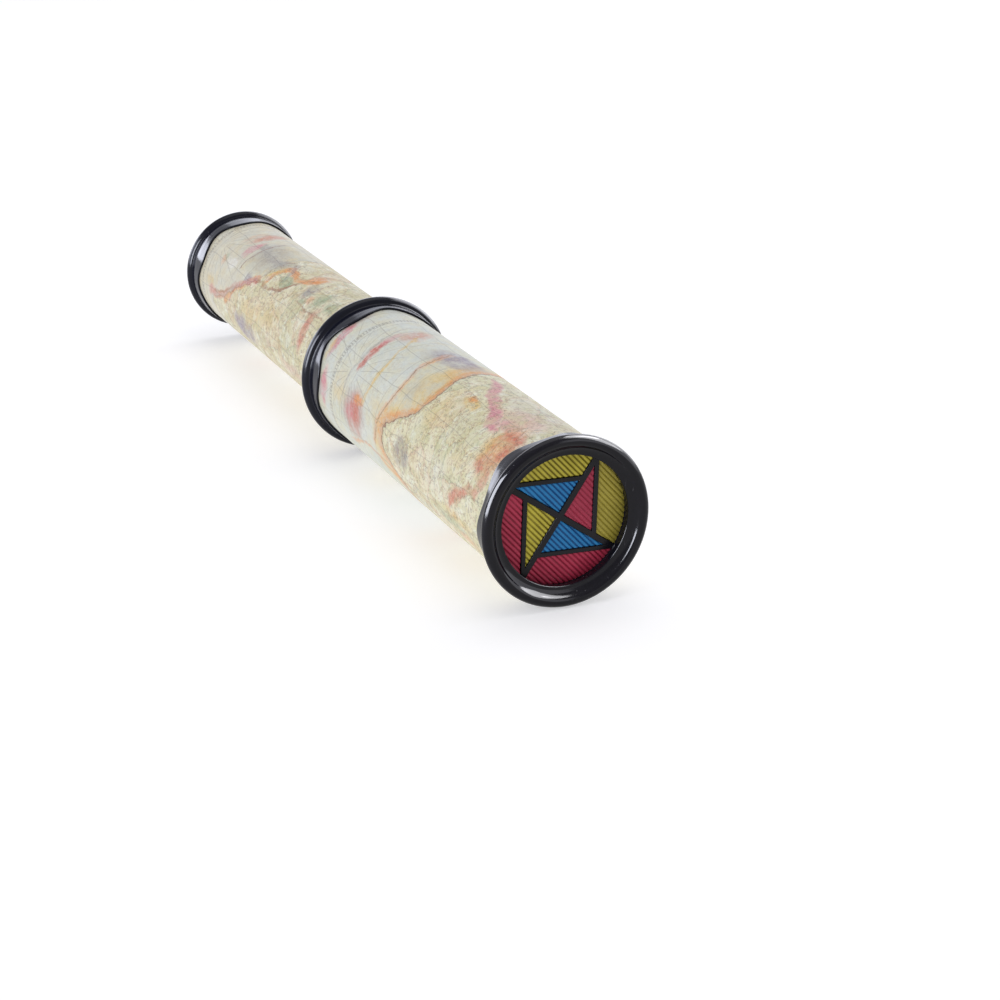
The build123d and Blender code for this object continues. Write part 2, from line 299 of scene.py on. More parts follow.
def pane_sides(k, outer):
    """Half-planes (n, c), inside where n.p <= c, of pane k of the disc as it is
    seen from the front."""
    a0, a1 = ARM_DEG - 90 * k, ARM_DEG - 90 * (k + 1)
    clockwise0 = polar(1, a0 - 90)
    counter1 = polar(1, a1 + 90)
    start, foot = polar(21.5, a0), polar(13.9, a1)
    d = (foot - start) / np.linalg.norm(foot - start)
    n_out = np.array((d[1], -d[0]))
    if np.dot(n_out, start) < 0:
        n_out = -n_out
    off = np.dot(n_out, start)
    sides = [(-clockwise0, -0.985), (-counter1, -0.985)]
    if outer:
        sides.append((-n_out, -(off + 0.775)))
    else:
        sides.append((n_out, off - 0.775))
    return sides


def pane(name, k, outer):
    sides = pane_sides(k, outer)
    R = 21.83

    def interval(b):
        """Where the rib line at b is inside the pane."""
        if abs(b) >= R:
            return None
        half = math.sqrt(R * R - b * b)
        lo, hi = -half, half
        for n, c in sides:
            na, nb = float(np.dot(n, ALONG)), float(np.dot(n, ACROSS))
            rest = c - nb * b
            if abs(na) < 1e-9:
                if rest < 0:
                    return None
                continue
            x = rest / na
            if na > 0:
                hi = min(hi, x)
            else:
                lo = max(lo, x)
        return (lo, hi) if hi - lo > 0.04 else None

    grid = [i * 0.1 for i in range(-219, 220)]
    rows = [b for b in grid if interval(b)]
    lo_b, hi_b = rows[0], rows[-1]
    for edge, step, put in ((lo_b, -1, 0), (hi_b, 1, len(rows) + 1)):
        for f in (0.08, 0.06, 0.04, 0.02):
            if interval(edge + step * f):
                rows.insert(0, edge - f) if step < 0 else rows.append(edge + f)
                break

    def dist(a, b):
        p = ALONG * a + ACROSS * b
        d = R - float(np.hypot(*p))
        for n, c in sides:
            d = min(d, c - float(np.dot(n, p)))
        return max(0.0, d)

    front, back = 4.30, 5.30
    offs = (0.0, 0.03, 0.08, 0.15, 0.24, 0.36)
    verts, faces = [], []
    ncol = 0
    for b in rows:
        lo, hi = interval(b)
        ln = hi - lo
        sc = min(1.0, ln / 0.9)
        xs = [lo + o * sc for o in offs]
        inner_lo, inner_hi = xs[-1], hi - offs[-1] * sc
        xs += [inner_lo + (inner_hi - inner_lo) * t for t in (0.17, 0.34, 0.5, 0.66, 0.83)]
        xs += [hi - o * sc for o in reversed(offs)]
        ncol = len(xs)
        f = (b / RIB_PITCH) % 1.0
        arch = 1.0 - abs(2 * f - 1) ** 2.3
        for a in xs:
            e = min(1.0, dist(a, b) / 0.34)
            drop = 0.22 * (1.0 - math.sqrt(max(0.0, 1.0 - (1.0 - e) ** 2)))
            uneven = 0.012 * mnoise.noise(Vector((a * 0.3, b * 0.3, k * 3.1 + (7 if outer else 0))))
            h = front + 0.01 + 0.30 * (1 - arch) + drop + abs(uneven)
            X, Y = ALONG * a + ACROSS * b
            verts.append(((h - U0) / 1000, -X / 1000, (AXIS_Z + Y) / 1000))
    nr = len(rows)
    top = len(verts)
    for i in range(nr):
        for j in range(ncol):
            x, y, z = verts[i * ncol + j]
            verts.append(((back - U0) / 1000, y, z))
    for i in range(nr - 1):
        for j in range(ncol - 1):
            a, b_, c, d = i * ncol + j, i * ncol + j + 1, (i + 1) * ncol + j + 1, (i + 1) * ncol + j
            faces.append((a, b_, c, d))
            faces.append((top + a, top + d, top + c, top + b_))
    loop = [j for j in range(ncol)]
    loop += [i * ncol + ncol - 1 for i in range(1, nr)]
    loop += [(nr - 1) * ncol + j for j in range(ncol - 2, -1, -1)]
    loop += [i * ncol for i in range(nr - 2, 0, -1)]
    for i in range(len(loop)):
        a, b_ = loop[i], loop[(i + 1) % len(loop)]
        faces.append((a, top + a, top + b_, b_))
    return mesh_object(name, verts, faces, 60.0)


# -------------------------------------------------------------------- materials
class Graph:
    """Short hand for node trees. Every material works in millimetres."""

    def __init__(self, name):
        self.mat = bpy.data.materials.new(name)
        self.mat.use_nodes = True
        self.t = self.mat.node_tree
        self.t.nodes.clear()
        self.out = self.t.nodes.new("ShaderNodeOutputMaterial")
        self.bsdf = self.t.nodes.new("ShaderNodeBsdfPrincipled")
        self.t.links.new(self.bsdf.outputs[0], self.out.inputs[0])
        tc = self.t.nodes.new("ShaderNodeTexCoord")
        self.p = self.v("SCALE", tc.outputs["Object"], scale=1000.0)

    def _put(self, sock, val):
        if isinstance(val, bpy.types.NodeSocket):
            self.t.links.new(val, sock)
        elif val is not None:
            if hasattr(sock.default_value, "__len__") and not isinstance(val, (int, float)):
                val = tuple(val)
                if len(sock.default_value) == 4 and len(val) == 3:
                    val = val + (1.0,)
                sock.default_value = val
            elif hasattr(sock.default_value, "__len__"):
                sock.default_value = (val,) * len(sock.default_value)
            else:
                sock.default_value = val

    def m(self, op, a, b=None, c=None, clamp=False):
        n = self.t.nodes.new("ShaderNodeMath")
        n.operation = op
        n.use_clamp = clamp
        for i, x in enumerate((a, b, c)):
            if x is not None:
                self._put(n.inputs[i], x)
        return n.outputs[0]

    def add(self, a, b): return self.m("ADD", a, b)
    def sub(self, a, b): return self.m("SUBTRACT", a, b)
    def mul(self, a, b): return self.m("MULTIPLY", a, b)
    def div(self, a, b): return self.m("DIVIDE", a, b)
    def mn(self, a, b): return self.m("MINIMUM", a, b)
    def mx(self, a, b): return self.m("MAXIMUM", a, b)
    def abs(self, a): return self.m("ABSOLUTE", a)
    def inv(self, a): return self.m("SUBTRACT", 1.0, a)

    def v(self, op, a, b=None, scale=None):
        n = self.t.nodes.new("ShaderNodeVectorMath")
        n.operation = op
        self._put(n.inputs[0], a)
        if b is not None:
            self._put(n.inputs[1], b)
        if scale is not None:
            self._put(n.inputs["Scale"], scale)
        return n.outputs["Value"] if op in ("LENGTH", "DISTANCE", "DOT_PRODUCT") else n.outputs[0]

    def xyz(self, vec):
        n = self.t.nodes.new("ShaderNodeSeparateXYZ")
        self._put(n.inputs[0], vec)
        return n.outputs[0], n.outputs[1], n.outputs[2]

    def vec(self, x, y, z=0.0):
        n = self.t.nodes.new("ShaderNodeCombineXYZ")
        for i, q in enumerate((x, y, z)):
            self._put(n.inputs[i], q)
        return n.outputs[0]

    def step(self, x, lo, hi, a=0.0, b=1.0, smooth=True):
        n = self.t.nodes.new("ShaderNodeMapRange")
        n.interpolation_type = "SMOOTHSTEP" if smooth else "LINEAR"
        n.clamp = True
        self._put(n.inputs[0], x)
        n.inputs[1].default_value = lo
        n.inputs[2].default_value = hi
        n.inputs[3].default_value = a
        n.inputs[4].default_value = b
        return n.outputs[0]

    def mix(self, f, a, b, kind="MIX"):
        n = self.t.nodes.new("ShaderNodeMix")
        n.data_type = "RGBA"
        n.blend_type = kind
        n.clamp_factor = True
        self._put(n.inputs[0], f)
        self._put(n.inputs[6], a)
        self._put(n.inputs[7], b)
        return n.outputs[2]

    def noise(self, vec, size, detail=2.0, rough=0.5, shift=0.0, colour=False, distort=0.0):
        """Noise whose grain is about size millimetres."""
        n = self.t.nodes.new("ShaderNodeTexNoise")
        n.noise_dimensions = "3D"
        if shift:
            vec = self.v("ADD", vec, (shift, shift * 0.61, shift * 1.37))
        self._put(n.inputs["Vector"], vec)
        n.inputs["Scale"].default_value = 1.0 / size
        n.inputs["Detail"].default_value = detail
        n.inputs["Roughness"].default_value = rough
        n.inputs["Distortion"].default_value = distort
        return n.outputs["Color"] if colour else n.outputs[0]

    def voronoi(self, vec, size, feature="F1", shift=0.0, rand=1.0):
        n = self.t.nodes.new("ShaderNodeTexVoronoi")
        n.voronoi_dimensions = "2D"
        n.feature = feature
        if shift:
            vec = self.v("ADD", vec, (shift, shift * 0.73, 0.0))
        self._put(n.inputs["Vector"], vec)
        n.inputs["Scale"].default_value = 1.0 / size
        n.inputs["Randomness"].default_value = rand
        return n.outputs

    def ramp(self, f, stops, mode="LINEAR"):
        n = self.t.nodes.new("ShaderNodeValToRGB")
        cr = n.color_ramp
        cr.interpolation = mode
        full = [(p, tuple(c) + (1.0,) if len(c) == 3 else tuple(c)) for p, c in stops]
        cr.elements[0].position, cr.elements[0].color = full[0]
        cr.elements[1].position, cr.elements[1].color = full[-1]
        for pos, col in full[1:-1]:
            cr.elements.new(pos).color = col
        self._put(n.inputs[0], f)
        return n.outputs[0]

    def bump(self, height, mm, normal=None):
        n = self.t.nodes.new("ShaderNodeBump")
        n.inputs["Strength"].default_value = 1.0
        n.inputs["Distance"].default_value = mm / 1000.0
        self._put(n.inputs["Height"], height)
        if normal is not None:
            self._put(n.inputs["Normal"], normal)
        return n.outputs[0]

    def finish(self, colour, rough, normal=None, **consts):
        self._put(self.bsdf.inputs["Base Color"], colour)
        self._put(self.bsdf.inputs["Roughness"], rough)
        if normal is not None:
            self._put(self.bsdf.inputs["Normal"], normal)
        for k, val in consts.items():
            self._put(self.bsdf.inputs[k.replace("_", " ")], val)
        return self.mat


def srgb(r, g, b):
    def f(c):
        c /= 255.0
        return c / 12.92 if c <= 0.04045 else ((c + 0.055) / 1.055) ** 2.4
    return (f(r), f(g), f(b))


def black_gloss(name, base=(0.0010, 0.0009, 0.0014), lo=0.05, hi=0.13, shift=0.0, grain=1.0):
    g = Graph(name)
    broad = g.noise(g.p, 16.0, 2.0, 0.5, shift)
    fine = g.noise(g.p, 0.9 * grain, 4.0, 0.6, shift + 3.0)
    hair = g.noise(g.v("MULTIPLY", g.p, (0.25, 3.2, 3.2)), 1.4, 3.0, 0.7, shift + 9.0)
    hair = g.step(hair, 0.60, 0.72)
    dust = g.voronoi(g.p, 2.3, "F1", shift)[0]
    dust = g.mul(g.step(dust, 0.030, 0.065, 1.0, 0.0), g.step(g.noise(g.p, 9.0, 2.0, 0.5, shift + 5.0), 0.5, 0.66))
    rough = g.add(g.step(broad, 0.3, 0.7, lo, hi), g.mul(fine, 0.05))
    rough = g.add(rough, g.mul(hair, 0.10))
    rough = g.add(rough, g.mul(dust, 0.35))
    col = g.mix(g.mul(g.step(fine, 0.35, 0.8), 0.5), base, tuple(c * 1.7 for c in base))
    col = g.mix(g.mul(dust, 0.12), col, (0.10, 0.098, 0.10))
    h = g.add(g.mul(broad, 1.6), g.mul(fine, 0.30))
    n = g.bump(h, 0.010)
    return g.finish(col, rough, n, IOR=1.30)


def tinted(name, bright, dark, shift, groove_shade_strength=0.6, ribs=1.0):
    """Coloured, moulded pane with straight ribs. The ribs are in the mesh; the colour carries painted shade
    that darkens each rib towards the grooves between them, deepest in the grooves."""
    g = Graph(name)
    x, y, z = g.xyz(g.p)
    X = g.mul(y, -1.0)
    Y = g.sub(z, AXIS_Z)
    b = g.add(g.mul(X, float(ACROSS[0])), g.mul(Y, float(ACROSS[1])))
    f = g.m("FRACT", g.div(b, RIB_PITCH))
    edge = g.abs(g.sub(g.mul(f, 2.0), 1.0))
    mott = g.noise(g.p, 5.0, 3.0, 0.55, shift)
    fine = g.noise(g.p, 0.35, 3.0, 0.6, shift + 4.0)
    # painted shade: the colour darkens from the middle of each rib towards the grooves
    painted_groove_shade = g.step(g.add(edge, g.mul(g.sub(mott, 0.5), 0.25)), 0.22, 0.88)
    col = g.mix(g.mul(painted_groove_shade, ribs), bright, dark)
    # deeper painted shade right in the bottoms of the grooves
    col = g.mix(g.mul(g.step(edge, 0.78, 1.0), groove_shade_strength * ribs), col, tuple(c * 0.45 for c in dark))
    broad = g.noise(g.p, 13.0, 2.0, 0.5, shift + 8.0)
    col = g.mix(g.mul(g.step(broad, 0.40, 0.68), 0.30), col, tuple(min(1.0, c * 1.35) for c in bright))
    # painted shade: broad patches of the pane pulled towards the dark tone
    col = g.mix(g.mul(g.step(mott, 0.45, 0.75), 0.20), col, dark)
    rough = g.add(g.step(mott, 0.3, 0.7, 0.24, 0.38), g.mul(fine, 0.08))
    n = g.bump(g.add(g.mul(fine, 0.5), mott), 0.012)
    return g.finish(col, rough, n, IOR=1.27, Coat_Weight=0.0)


def card(name, base, shift, dark=0.78):
    g = Graph(name)
    fibre = g.noise(g.v("MULTIPLY", g.p, (0.5, 2.0, 2.0)), 0.8, 5.0, 0.65, shift)
    flecks = g.step(g.noise(g.p, 0.45, 3.0, 0.7, shift + 2.0), 0.62, 0.75)
    broad = g.noise(g.p, 11.0, 2.0, 0.5, shift + 6.0)
    x, y, z = g.xyz(g.p)
    r = g.v("LENGTH", g.vec(0.0, y, g.sub(z, AXIS_Z)))
    ply = g.abs(g.sub(g.m("FRACT", g.div(r, 0.42)), 0.5))
    col = g.mix(g.step(fibre, 0.3, 0.7), tuple(c * dark for c in base), base)
    col = g.mix(g.mul(flecks, 0.35), col, tuple(c * 0.5 for c in base))
    col = g.mix(g.mul(g.step(ply, 0.42, 0.5), 0.25), col, tuple(c * 0.55 for c in base))
    col = g.mix(g.mul(g.step(broad, 0.4, 0.7), 0.18), col, tuple(min(1, c * 1.2) for c in base))
    n = g.bump(g.add(fibre, g.mul(flecks, 0.4)), 0.05)
    return g.finish(col, g.step(fibre, 0.2, 0.8, 0.72, 0.92), n, IOR=1.45)


def felt():
    g = Graph("felt_black")
    fuzz = g.noise(g.p, 0.28, 6.0, 0.75)
    clump = g.noise(g.p, 1.6, 3.0, 0.6, 4.0)
    col = g.mix(g.step(fuzz, 0.35, 0.75), (0.010, 0.010, 0.012), (0.045, 0.043, 0.048))
    col = g.mix(g.mul(g.step(clump, 0.5, 0.8), 0.4), col, (0.07, 0.068, 0.072))
    n = g.bump(g.add(fuzz, clump), 0.14)
    return g.finish(col, g.step(clump, 0.2, 0.8, 0.86, 0.98), n, Sheen_Weight=0.35, Sheen_Roughness=0.45)


def frosted():
    g = Graph("frosted_white")
    n1 = g.noise(g.p, 0.22, 4.0, 0.65)
    n2 = g.noise(g.p, 6.0, 2.0, 0.5, 8.0)
    col = g.mix(g.step(n2, 0.3, 0.7), (0.72, 0.73, 0.74), (0.82, 0.83, 0.84))
    return g.finish(col, g.step(n1, 0.2, 0.8, 0.42, 0.62), g.bump(n1, 0.03), IOR=1.49)


def white_plastic():
    g = Graph("white_moulded")
    n1 = g.noise(g.p, 0.5, 4.0, 0.6)
    n2 = g.noise(g.p, 9.0, 2.0, 0.5, 3.0)
    col = g.mix(g.step(n2, 0.3, 0.7), (0.74, 0.735, 0.71), (0.82, 0.82, 0.80))
    return g.finish(col, g.step(n1, 0.2, 0.8, 0.30, 0.42), g.bump(n1, 0.02), IOR=1.49)


def clear():
    g = Graph("clear_window")
    n1 = g.noise(g.p, 7.0, 3.0, 0.6)
    n2 = g.step(g.noise(g.v("MULTIPLY", g.p, (1.0, 5.0, 0.4)), 1.2, 4.0, 0.7, 2.0), 0.60, 0.75)
    rough = g.add(g.step(n1, 0.3, 0.7, 0.015, 0.05), g.mul(n2, 0.06))
    col = g.mix(n1, (0.95, 0.97, 0.98), (0.98, 0.99, 1.0))
    return g.finish(col, rough, g.bump(n1, 0.006), IOR=1.49, Transmission_Weight=1.0)


def mirror():
    g = Graph("mirrored_strip")
    n1 = g.noise(g.p, 8.0, 3.0, 0.55)
    n2 = g.step(g.noise(g.v("MULTIPLY", g.p, (0.15, 4.0, 4.0)), 1.0, 4.0, 0.7, 5.0), 0.62, 0.78)
    rough = g.add(g.step(n1, 0.3, 0.7, 0.02, 0.06), g.mul(n2, 0.08))
    col = g.mix(g.step(n1, 0.3, 0.8), (0.86, 0.87, 0.885), (0.78, 0.79, 0.81))
    return g.finish(col, rough, g.bump(n1, 0.008), Metallic=1.0)


# ------------------------------------------------------- antique-map paper print
LAND = srgb(233, 226, 197)
LAND2 = srgb(214, 206, 160)
SEA = srgb(214, 219, 211)
SEA2 = srgb(220, 219, 196)
INK = srgb(92, 76, 66)
BROWN = srgb(160, 108, 70)
ORANGE = srgb(232, 148, 62)
SALMON = srgb(210, 124, 98)
PINK = srgb(216, 128, 146)
YELLOW = srgb(226, 190, 96)
GREEN = srgb(146, 168, 128)
GREY = srgb(152, 146, 148)
VIOLET = srgb(148, 136, 156)
CYAN = srgb(186, 202, 200)
RED = srgb(204, 88, 76)
WHITE = srgb(238, 238, 234)
SMALL_SEA = srgb(216, 214, 198)
SMALL_SEA2 = srgb(222, 214, 186)


def map_paper(name, R, coast, second, zones, strokes, isles, rhumbs, neat, shift, waters, outline):
    """Generic antique chart: land and sea with a drawn coast, washes, borders,
    hill strokes, sailing lines, a grid and a scale bar, under a satin film."""
    g = Graph(name)
    x, y, z = g.xyz(g.p)
    u = g.add(x, U0)
    phi = g.m("ARCTAN2", y, g.sub(z, AXIS_Z))
    w = g.mul(phi, R)
    Q = g.vec(u, w, shift)
    n_big = g.v("SUBTRACT", g.noise(Q, 24.0, 2.0, 0.5, 0.0, True), (0.5, 0.5, 0.5))
    n_mid = g.v("SUBTRACT", g.noise(Q, 5.0, 5.0, 0.66, 11.0, True), (0.5, 0.5, 0.5))
    Q1 = g.v("ADD", Q, g.v("MULTIPLY", n_big, (7.0, 7.0, 0.0)))
    Q2 = g.v("ADD", Q1, g.v("MULTIPLY", n_mid, (5.0, 5.0, 0.0)))
    s2, w2, _ = g.xyz(Q2)
    q1x, q1y, _ = g.xyz(Q1)
    mott = g.noise(Q, 7.0, 5.0, 0.66, 21.0)
    fine = g.noise(Q, 1.0, 4.0, 0.65, 31.0)
    grainy = g.noise(Q, 0.55, 3.0, 0.65, 36.0)
    lowc = g.noise(Q, 17.0, 3.0, 0.55, 41.0)
    lo_u, hi_u = shift + 0.0, shift + 180.0

    def ellipse(vec, c, rad):
        """About the distance in mm outside an ellipse, negative inside."""
        cu, cw = c[0], math.radians(c[1]) * R
        d = g.v("LENGTH", g.v("MULTIPLY", g.v("SUBTRACT", vec, (cu, cw, shift)),
                              (1.0 / rad[0], 1.0 / rad[1], 0.0)))
        return g.mul(g.sub(d, 1.0), min(rad))

    def track(points, by_angle, around, along):
        """Signed distance in mm from a drawn line. The points give station
        over angle, or angle over station, in even order."""
        if by_angle:
            t0, t1 = -180.0, 180.0
            pts = [(p, q, math.radians(p) * R, q) for p, q in points]
            src = g.add(g.mul(g.div(around, R), 0.5 / math.pi), 0.5)
        else:
            t0, t1 = lo_u, hi_u
            pts = [(p, q, p, math.radians(q) * R) for p, q in points]
            src = g.div(g.sub(along, t0), t1 - t0)
        v0 = min(q[3] for q in pts) - 1.0
        v1 = max(q[3] for q in pts) + 1.0
        line, slope = [], []
        for i, (t, _, ta, va) in enumerate(pts):
            lo, hi = pts[max(0, i - 1)], pts[min(len(pts) - 1, i + 1)]
            k = (hi[3] - lo[3]) / max(1e-6, hi[2] - lo[2])
            pos = (t - t0) / (t1 - t0)
            line.append((pos, ((va - v0) / (v1 - v0),) * 3))
            slope.append((pos, (1.0 / math.sqrt(1.0 + k * k),) * 3))
        c = g.xyz(g.ramp(src, line, "B_SPLINE"))[0]
        k = g.xyz(g.ramp(src, slope, "LINEAR"))[0]
        value = g.add(g.mul(c, v1 - v0), v0)
        d = g.mul(g.sub(along if by_angle else around, value), k)
        a0, a1 = pts[0][0], pts[-1][0]
        if a0 <= t0 and a1 >= t1:
            return d, 1.0
        t = g.mul(g.div(around, R), 180.0 / math.pi) if by_angle else along
        fade = 2.5 if by_angle else 1.5
        ends = g.mul(g.step(t, a0 - fade, a0 + fade), g.step(t, a1 - fade, a1 + fade, 1.0, 0.0))
        return d, ends

    # ---- where land is: L < 0 on land
    L, _ = track(coast, True, w2, s2)
    L0, _ = track(coast, True, q1y, q1x)
    for c, rad in isles:
        L = g.mn(L, ellipse(Q2, c, rad))
    land = g.step(L, -0.25, 0.25, 1.0, 0.0)
    sea = g.inv(land)
    L2, in2 = track(second, True, w2, s2)
    shelf = g.mul(g.mul(sea, g.step(L2, -0.25, 0.25, 1.0, 0.0)), in2)

    # ---- ground colours
    ground = (LAND2, LAND) if outline < 0.5 else (srgb(218, 213, 168), srgb(237, 232, 204))
    land_c = g.mix(g.step(mott, 0.34, 0.66), ground[0], ground[1])
    sea_c = g.mix(g.step(mott, 0.36, 0.66), waters[0], waters[1])
    col = g.mix(land, sea_c, land_c)
    col = g.mix(g.mul(shelf, 0.85), col, g.mix(g.step(mott, 0.4, 0.62), srgb(214, 212, 190), srgb(226, 214, 170)))

    # ---- regions with coloured borders
    cell = g.voronoi(Q2, 12.0, "F1", 0.0)
    edge = g.mul(g.voronoi(Q2, 12.0, "DISTANCE_TO_EDGE", 0.0)[0], 12.0)
    pick = g.xyz(cell["Color"])[0]
    tint = g.ramp(pick, [(0.0, ORANGE), (0.2, YELLOW), (0.38, GREEN), (0.55, YELLOW), (0.68, SALMON), (0.84, GREEN)], "CONSTANT")
    band = g.mul(g.step(edge, 0.1, 1.4, 0.42, 0.0), g.step(fine, 0.25, 0.6, 0.35, 1.0))
    col = g.mix(g.mul(g.mul(band, land), 0.50), col, tint)
    fill = g.mul(g.step(pick, 0.45, 0.75), land)
    col = g.mix(g.mul(fill, 0.08), col, tint)

    # ---- soft worn and olive blotches a few millimetres across
    pale = g.step(g.noise(Q2, 3.4, 3.0, 0.60, 26.0), 0.50, 0.66)
    olive = g.step(g.noise(Q2, 2.3, 3.0, 0.60, 27.0), 0.54, 0.70)
    col = g.mix(g.mul(pale, g.add(g.mul(land, 0.42), 0.26)), col, srgb(240, 242, 224))
    col = g.mix(g.mul(olive, g.add(g.mul(land, 0.34), 0.12)), col, srgb(170, 172, 122))

    # ---- watercolour patches; one zone of the inner sheet is painted shade instead (marked in its list)
    broken = g.step(mott, 0.32, 0.60, 0.40, 1.0)
    speck = g.step(fine, 0.30, 0.62, 0.55, 1.0)
    broken = g.mul(broken, speck)
    for (cu, cw, ru, rw, colour, strength, hard) in zones:
        d = ellipse(Q2, (cu, cw), (ru, rw))
        soft = (1.0 - hard) * min(ru, rw)
        msk = g.step(d, -0.30 - soft, 0.45 + 0.4 * soft, strength, 0.0)
        col = g.mix(g.mul(msk, broken), col, colour)

    # ---- drawn and washed strokes
    brown = g.step(g.abs(L), 0.10, 0.46, outline, 0.0)
    for points, by_angle, wid, colour, strength, side in strokes:
        d, ends = track(points, by_angle, w2, s2)
        if side:
            # a wash that starts sharply on the line and fades to one side
            near = g.step(g.mul(d, side), -0.20, 0.15)
            far = g.step(g.mul(d, side), wid * 0.15, wid, 1.0, 0.0)
            msk = g.mul(near, far)
        else:
            msk = g.step(g.abs(d), wid * 0.35, wid, 1.0, 0.0)
        msk = g.mul(g.mul(msk, ends), g.mul(broken, strength)) if ends != 1.0 else g.mul(msk, g.mul(broken, strength))
        col = g.mix(msk, col, colour)

    # ---- wash along the coast, out to sea side pale
    col = g.mix(g.mul(g.step(L, 0.1, 2.4, 0.25, 0.0), sea), col, CYAN)
    river = g.noise(Q1, 11.0, 5.0, 0.60, 51.0)
    riv = g.step(g.abs(g.sub(river, 0.5)), 0.004, 0.014, 0.62, 0.0)
    riv2 = g.step(g.abs(g.sub(river, 0.595)), 0.004, 0.012, 0.50, 0.0)
    riv3 = g.step(g.abs(g.sub(river, 0.42)), 0.004, 0.012, 0.45, 0.0)
    brown = g.mx(brown, g.mul(g.mx(riv, g.mx(riv2, riv3)), g.step(L, -0.5, 2.0, 0.8, 0.22)))
    brown = g.mx(brown, g.mul(g.step(g.abs(L2), 0.12, 0.50, 0.75, 0.0), in2))
    col = g.mix(g.mul(brown, g.step(fine, 0.2, 0.6, 0.5, 1.0)), col, BROWN)

    # ---- thin dark lines
    ink = g.step(g.abs(L), 0.05, 0.20, 0.75 * outline, 0.0)
    lining = g.abs(g.sub(g.m("FRACT", g.div(L, 0.85)), 0.5))
    lining = g.mul(g.mul(g.step(lining, 0.36, 0.48), g.step(L, 0.4, 3.0, 0.30, 0.0)), sea)
    ink = g.mx(ink, lining)
    dash = g.step(g.m("FRACT", g.mul(g.add(s2, w2), 0.85)), 0.42, 0.52)
    ink = g.mx(ink, g.mul(g.mul(g.step(edge, 0.07, 0.22, 0.60, 0.0), dash), land))

    hills = g.voronoi(Q, 1.35, "F1", 3.0)
    d = g.v("SUBTRACT", g.v("SCALE", g.v("ADD", Q, (3.0, 3.0 * 0.73, 0.0)), scale=1.0 / 1.35), g.v("SCALE", hills["Position"], scale=1.0 / 1.35))
    dx, dy, _ = g.xyz(d)
    lean = g.mul(g.sub(g.xyz(hills["Color"])[0], 0.5), 1.6)
    across = g.abs(g.add(dx, g.mul(dy, lean)))
    stroke = g.mul(g.step(across, 0.05, 0.17, 1.0, 0.0), g.step(g.abs(dy), 0.24, 0.42, 1.0, 0.0))
    range_m = g.step(g.noise(Q2, 8.0, 2.0, 0.5, 61.0), 0.50, 0.60)
    ink = g.mx(ink, g.mul(g.mul(stroke, range_m), 0.17))
    ink = g.mx(ink, g.mul(g.mul(stroke, land), 0.09))
    ink = g.mx(ink, g.mul(g.step(grainy, 0.54, 0.68), g.add(g.mul(land, 0.05), 0.05)))

    marks = g.voronoi(Q, 5.2, "F1", 13.0)
    ring = g.step(g.abs(g.sub(marks["Distance"], 0.085)), 0.018, 0.045, 0.46, 0.0)
    ink = g.mx(ink, g.mul(ring, land))

    # ---- rows of short dashes, as dotted roads and soundings
    row = g.abs(g.sub(g.m("FRACT", g.div(q1y, 2.1)), 0.5))
    dots = g.mul(g.step(row, 0.08, 0.20, 1.0, 0.0), g.step(g.noise(Q, 0.75, 2.0, 0.5, 75.0), 0.44, 0.54))
    dots = g.mul(dots, g.step(g.noise(Q2, 6.0, 2.0, 0.5, 71.0), 0.45, 0.54))
    ink = g.mx(ink, g.mul(dots, g.add(g.mul(land, 0.11), 0.11)))

    # ---- grid
    q1s, q1w, _ = g.xyz(g.v("ADD", Q, g.v("MULTIPLY", n_big, (5.0, 5.0, 0.0))))
    gs = g.abs(g.sub(g.m("FRACT", g.div(q1s, 13.0)), 0.5))
    gw = g.abs(g.sub(g.m("FRACT", g.div(q1w, 13.0)), 0.5))
    ink = g.mx(ink, g.step(g.mn(gs, gw), 0.0055, 0.018, 0.36, 0.0))

    # ---- sailing lines that fan out from a point, over the sea
    for (ru, rphi, rose) in rhumbs:
        dv = g.v("SUBTRACT", Q, (ru, math.radians(rphi) * R, shift))
        ex, ey, _ = g.xyz(dv)
        th = g.m("ARCTAN2", ey, ex)
        rad = g.v("LENGTH", dv)
        off = g.mul(g.abs(g.m("SINE", g.mul(th, 10.0))), g.mul(rad, 0.1))
        line = g.mul(g.step(off, 0.05, 0.20, 0.40, 0.0), g.step(rad, 20.0, 34.0, 1.0, 0.0))
        line = g.mul(line, g.step(rad, 3.0, 6.0, 0.0, 1.0))
        ink = g.mx(ink, g.mul(line, sea))
        if rose:
            # plain eight-pointed wind rose
            ax, ay = g.abs(ex), g.abs(ey)
            star = g.add(g.m("SQRT", ax), g.m("SQRT", ay))
            star2 = g.add(g.m("SQRT", g.abs(g.mul(g.add(ex, ey), 0.7071))), g.m("SQRT", g.abs(g.mul(g.sub(ex, ey), 0.7071))))
            rt = math.sqrt(rose)
            half = g.step(g.mul(g.mul(ex, ey), g.sub(ax, ay)), -0.02, 0.02)
            col = g.mix(g.step(rad, rose * 0.62 - 0.1, rose * 0.62, 0.35, 0.0), col, YELLOW)
            col = g.mix(g.step(star2, rt * 0.84 - 0.08, rt * 0.84, 0.85, 0.0), col, g.mix(half, GREY, LAND))
            col = g.mix(g.step(star, rt - 0.08, rt, 1.0, 0.0), col, g.mix(half, RED, LAND))
            ink = g.mx(ink, g.step(g.abs(g.sub(rad, rose * 0.62)), 0.05, 0.13, 0.7, 0.0))

    # ---- ink is broken up a little, as in a small offset print
    ink = g.mul(ink, g.step(fine, 0.25, 0.60, 0.55, 1.0))
